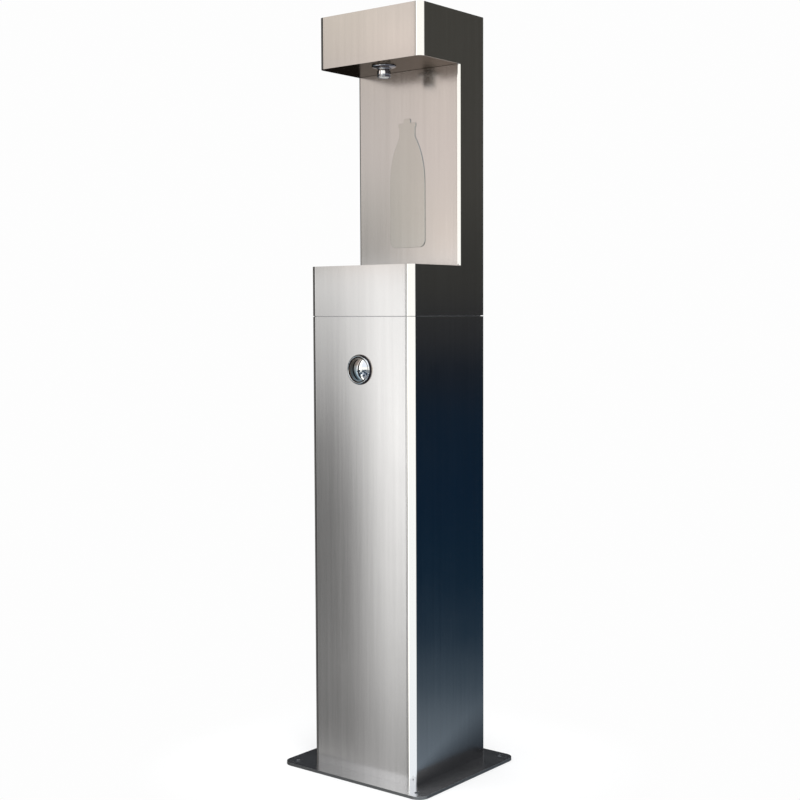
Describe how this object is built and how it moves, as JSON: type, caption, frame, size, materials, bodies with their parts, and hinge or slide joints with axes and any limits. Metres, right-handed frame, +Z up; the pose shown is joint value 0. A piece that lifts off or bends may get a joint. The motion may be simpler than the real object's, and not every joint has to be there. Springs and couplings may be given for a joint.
{
  "type": "bottle-filling drinking fountain",
  "caption": "Free-standing brushed stainless column with an overhanging head, bottle bay with chrome outlet, recessed drip shelf, domed push button, rear service door and bolt-down base plate.",
  "frame": {"origin": "centre of the base plate's footprint, on the floor", "axes": "+X to the right of a user facing the column, +Y from the user into the column, +Z up"},
  "size_m": [0.357, 0.317, 1.5],
  "materials": {
    "brushed_steel": "vertical brushed grain, semi-bright",
    "base_steel": "bright cold-rolled plate, smooth",
    "inner_steel": "plain mill finish",
    "chrome": "mirror polished",
    "spring_steel": "drawn wire",
    "brass": "machined",
    "seal_rubber": "matt black",
    "white_plastic": "moulded satin",
    "hose_steel": "braided or drawn steel",
    "handle_red": "dip-coated steel lever"
  },
  "bodies": {
    "column": {"base_plate": "base_steel", "base_upstand": "inner_steel", "lower_casing": "brushed_steel", "joint_collar": "inner_steel", "upper_casing": "brushed_steel", "niche_panel": "brushed_steel", "bottle_emblem": "brushed_steel", "head_soffit": "brushed_steel", "top_cover": "brushed_steel", "shelf_plate": "brushed_steel", "drip_tray": "brushed_steel", "drain_fitting": "chrome", "drain_washer": "seal_rubber", "waste_nut": "white_plastic", "waste_pipe": "white_plastic", "button_flange": "chrome", "button_washer": "seal_rubber", "button_locknut": "brass", "valve_body": "brass", "return_spring": "spring_steel", "isolation_valve_body": "brass", "inlet_pipe": "hose_steel", "supply_hose": "hose_steel", "outlet_tube": "hose_steel", "tube_clip_lower": "white_plastic", "tube_clip_upper": "white_plastic", "outlet_flange": "chrome", "outlet_nozzle": "chrome", "aerator_insert": "white_plastic", "outlet_washer": "seal_rubber", "outlet_locknut": "brass", "rear_upper_panel": "brushed_steel", "rear_panel_screw_1": "inner_steel", "rear_panel_screw_2": "inner_steel", "rear_panel_screw_3": "inner_steel", "rear_panel_screw_4": "inner_steel", "rear_panel_screw_5": "inner_steel", "rear_panel_screw_6": "inner_steel", "hinge_frame_leaf_lower": "inner_steel", "hinge_frame_leaf_upper": "inner_steel", "hinge_pin_lower": "chrome", "hinge_pin_upper": "chrome"},
    "button": {"push_button": "chrome", "valve_stem": "inner_steel"},
    "service_door": {"rear_door": "brushed_steel", "hinge_door_leaf_lower": "inner_steel", "hinge_door_leaf_upper": "inner_steel", "lock_body": "chrome", "lock_nut": "inner_steel"},
    "lock_plug_and_cam": {"lock_plug": "chrome", "lock_cam": "inner_steel"},
    "isolation_handle": {"isolation_lever": "handle_red", "isolation_ball": "chrome"},
    "grate": {"drip_grate": "brushed_steel"}
  },
  "joints": [
    {"name": "button_press", "type": "slide", "parent": "column", "child": "button", "axis": [0, 1, 0], "range_m": [0, 0.007], "stiffness_N_per_m": 700, "springref_m": -0.004, "deforming": ["return_spring"]},
    {"name": "door_swing", "type": "hinge", "parent": "column", "child": "service_door", "pos_m": [-0.117, 0.1226, 0.46], "axis": [0, 0, 1], "range_deg": [0, 110]},
    {"name": "lock_turn", "type": "hinge", "parent": "service_door", "child": "lock_plug_and_cam", "pos_m": [0.088, 0.118, 0.46], "axis": [0, 1, 0], "range_deg": [0, 90]},
    {"name": "isolation_turn", "type": "hinge", "parent": "column", "child": "isolation_handle", "pos_m": [-0.044, 0.052, 0.17], "axis": [0, 1, 0], "range_deg": [0, 90]},
    {"name": "grate_lift", "type": "slide", "parent": "column", "child": "grate", "axis": [0, 0, 1], "range_m": [0, 0.05]}
  ]
}
